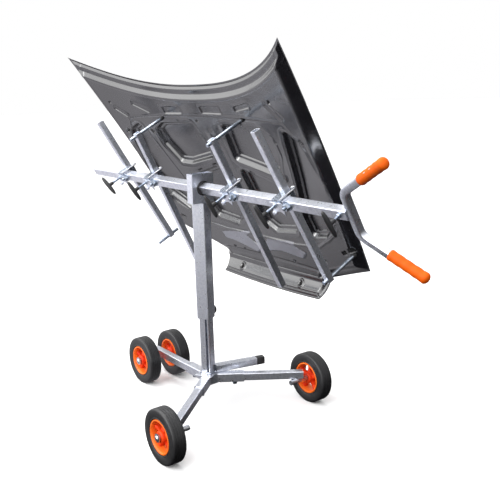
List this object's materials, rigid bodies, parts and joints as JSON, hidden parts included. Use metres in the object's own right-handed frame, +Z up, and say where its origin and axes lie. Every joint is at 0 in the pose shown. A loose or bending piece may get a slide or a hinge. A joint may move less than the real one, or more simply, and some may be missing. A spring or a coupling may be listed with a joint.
{
  "type": "wheeled body panel stand",
  "caption": "Wheeled stand with a telescopic post, tilting crossbar and clamped arms that hold a car bonnet for painting or repair.",
  "frame": {"origin": "middle of the model's footprint box, on the floor", "axes": "+X along the crossbar towards the pushing handle, which is also the rolling direction, +Y towards the side that the panel leans over, +Z up"},
  "size_m": [1.8844, 0.8512, 1.3968],
  "materials": {
    "zinc": "zinc plated, satin, mottled",
    "zinc_blue": "blue passivated zinc",
    "steel": "bright",
    "tyre": "matt solid rubber",
    "rubber": "matt",
    "rim_orange": "moulded, satin",
    "grip_orange": "soft satin",
    "black_plastic": "moulded, fine grain",
    "primer": "dark grey electrocoat, semi gloss"
  },
  "bodies": {
    "base": {"base_hub": "zinc", "side_arm": "zinc", "side_arm_plug": "black_plastic", "inner_post": "zinc", "leg_sleeve_front_left": "zinc", "leg_sleeve_front_right": "zinc", "leg_sleeve_rear": "zinc"},
    "leg_front_left": {"leg_tube_front_left": "zinc", "axle_front_left": "steel"},
    "leg_screw_front_left": {"leg_screw_front_left": "zinc_blue"},
    "leg_front_right": {"leg_tube_front_right": "zinc", "axle_front_right": "steel"},
    "leg_screw_front_right": {"leg_screw_front_right": "zinc_blue"},
    "leg_rear": {"leg_tube_rear": "zinc", "axle_rear": "steel"},
    "leg_screw_rear": {"leg_screw_rear": "zinc_blue"},
    "wheel_front_left": {"tyre_front_left": "tyre", "rim_front_left": "rim_orange"},
    "wheel_front_right": {"tyre_front_right": "tyre", "rim_front_right": "rim_orange"},
    "wheel_rear_outer": {"tyre_rear_outer": "tyre", "rim_rear_outer": "rim_orange"},
    "wheel_rear_inner": {"tyre_rear_inner": "tyre", "rim_rear_inner": "rim_orange"},
    "post": {"outer_post": "zinc", "post_guide": "black_plastic", "head_housing": "zinc"},
    "lock_knob": {"post_lock_knob": "black_plastic"},
    "crossbar": {"crossbar": "zinc", "head_bush_left": "black_plastic", "head_bush_right": "black_plastic", "clamp_left": "zinc_blue", "clamp_middle": "zinc_blue", "clamp_right": "zinc_blue", "arm_left": "zinc", "arm_middle": "zinc", "arm_right": "zinc", "hook_rod_left": "zinc_blue", "hook_rod_middle": "zinc_blue", "hook_rod_right": "zinc_blue", "hook_tip_left": "rubber", "hook_tip_middle": "rubber", "hook_tip_right": "rubber", "bonnet_skin": "primer", "bonnet_inner_frame": "primer"},
    "handle": {"handle_bar": "zinc", "handle_spigot": "zinc", "grip_upper": "grip_orange", "grip_lower": "grip_orange"},
    "spare_clamp": {"clamp_spare": "zinc_blue"},
    "spare_arm": {"arm_spare": "zinc", "hook_rod_spare": "zinc_blue"},
    "t_screw_left": {"t_screw_left": "black_plastic"},
    "t_screw_middle": {"t_screw_middle": "black_plastic"},
    "t_screw_right": {"t_screw_right": "black_plastic"},
    "t_screw_spare": {"t_screw_spare": "black_plastic"},
    "t_screw_handle": {"t_screw_handle": "black_plastic"}
  },
  "joints": [
    {"name": "leg_front_left_slide", "type": "slide", "parent": "base", "child": "leg_front_left", "axis": [0.6508, -0.7593, 0], "range_m": [0, 0.06]},
    {"name": "leg_front_left_screw_turn", "type": "hinge", "parent": "base", "child": "leg_screw_front_left", "pos_m": [-0.00915, -0.0936, 0.1253], "axis": [0, 0, 1], "range_deg": [0, 180]},
    {"name": "leg_front_right_slide", "type": "slide", "parent": "base", "child": "leg_front_right", "axis": [0.5878, 0.809, 0], "range_m": [0, 0.06]},
    {"name": "leg_front_right_screw_turn", "type": "hinge", "parent": "base", "child": "leg_screw_front_right", "pos_m": [-0.01564, 0.06793, 0.1253], "axis": [0, 0, 1], "range_deg": [0, 180]},
    {"name": "leg_rear_slide", "type": "slide", "parent": "base", "child": "leg_rear", "axis": [-1, 0, 0], "range_m": [0, 0.06]},
    {"name": "leg_rear_screw_turn", "type": "hinge", "parent": "base", "child": "leg_screw_rear", "pos_m": [-0.17918, -0.0154, 0.1253], "axis": [0, 0, 1], "range_deg": [0, 180]},
    {"name": "wheel_front_left_spin", "type": "hinge", "parent": "leg_front_left", "child": "wheel_front_left", "pos_m": [0.20301, -0.38762, 0.1], "axis": [0, 1, 0], "continuous": true},
    {"name": "wheel_front_right_spin", "type": "hinge", "parent": "leg_front_right", "child": "wheel_front_right", "pos_m": [0.13778, 0.33409, 0.1], "axis": [0, 1, 0], "continuous": true},
    {"name": "wheel_rear_outer_spin", "type": "hinge", "parent": "leg_rear", "child": "wheel_rear_outer", "pos_m": [-0.47618, -0.08089, 0.1], "axis": [0, 1, 0], "continuous": true},
    {"name": "wheel_rear_inner_spin", "type": "hinge", "parent": "leg_rear", "child": "wheel_rear_inner", "pos_m": [-0.47618, 0.0641, 0.1], "axis": [0, 1, 0], "continuous": true},
    {"name": "post_slide", "type": "slide", "parent": "base", "child": "post", "axis": [0, 0, 1], "range_m": [-0.05, 0.15]},
    {"name": "lock_knob_pull", "type": "slide", "parent": "post", "child": "lock_knob", "axis": [-0.454, 0.891, 0], "range_m": [0, 0.006], "stiffness_N_per_m": 600, "springref_m": -0.008},
    {"name": "panel_tilt", "type": "hinge", "parent": "post", "child": "crossbar", "pos_m": [-0.07618, -0.0154, 0.886], "axis": [1, 0, 0], "range_deg": [-27, 120]},
    {"name": "handle_slide", "type": "slide", "parent": "crossbar", "child": "handle", "axis": [1, 0, 0], "range_m": [0, 0.05]},
    {"name": "spare_clamp_slide", "type": "slide", "parent": "crossbar", "child": "spare_clamp", "axis": [1, 0, 0], "range_m": [-0.2, 0.1]},
    {"name": "spare_arm_slide", "type": "slide", "parent": "spare_clamp", "child": "spare_arm", "axis": [-0.1564, -0.453, 0.8777], "range_m": [-0.12, 0.2]},
    {"name": "t_screw_left_turn", "type": "hinge", "parent": "crossbar", "child": "t_screw_left", "pos_m": [-0.45118, -0.0154, 0.886], "axis": [0, -0.8886, -0.4586], "range_deg": [0, 180]},
    {"name": "t_screw_middle_turn", "type": "hinge", "parent": "crossbar", "child": "t_screw_middle", "pos_m": [0.10682, -0.0154, 0.886], "axis": [0, -0.8886, -0.4586], "range_deg": [0, 180]},
    {"name": "t_screw_right_turn", "type": "hinge", "parent": "crossbar", "child": "t_screw_right", "pos_m": [0.39482, -0.0154, 0.886], "axis": [0, -0.8886, -0.4586], "range_deg": [0, 180]},
    {"name": "t_screw_spare_turn", "type": "hinge", "parent": "spare_clamp", "child": "t_screw_spare", "pos_m": [-0.68018, -0.0154, 0.886], "axis": [0, -0.8886, -0.4586], "range_deg": [0, 180]},
    {"name": "t_screw_handle_turn", "type": "hinge", "parent": "crossbar", "child": "t_screw_handle", "pos_m": [0.68782, -0.0154, 0.886], "axis": [0, -0.8886, -0.4586], "range_deg": [0, 180]}
  ]
}
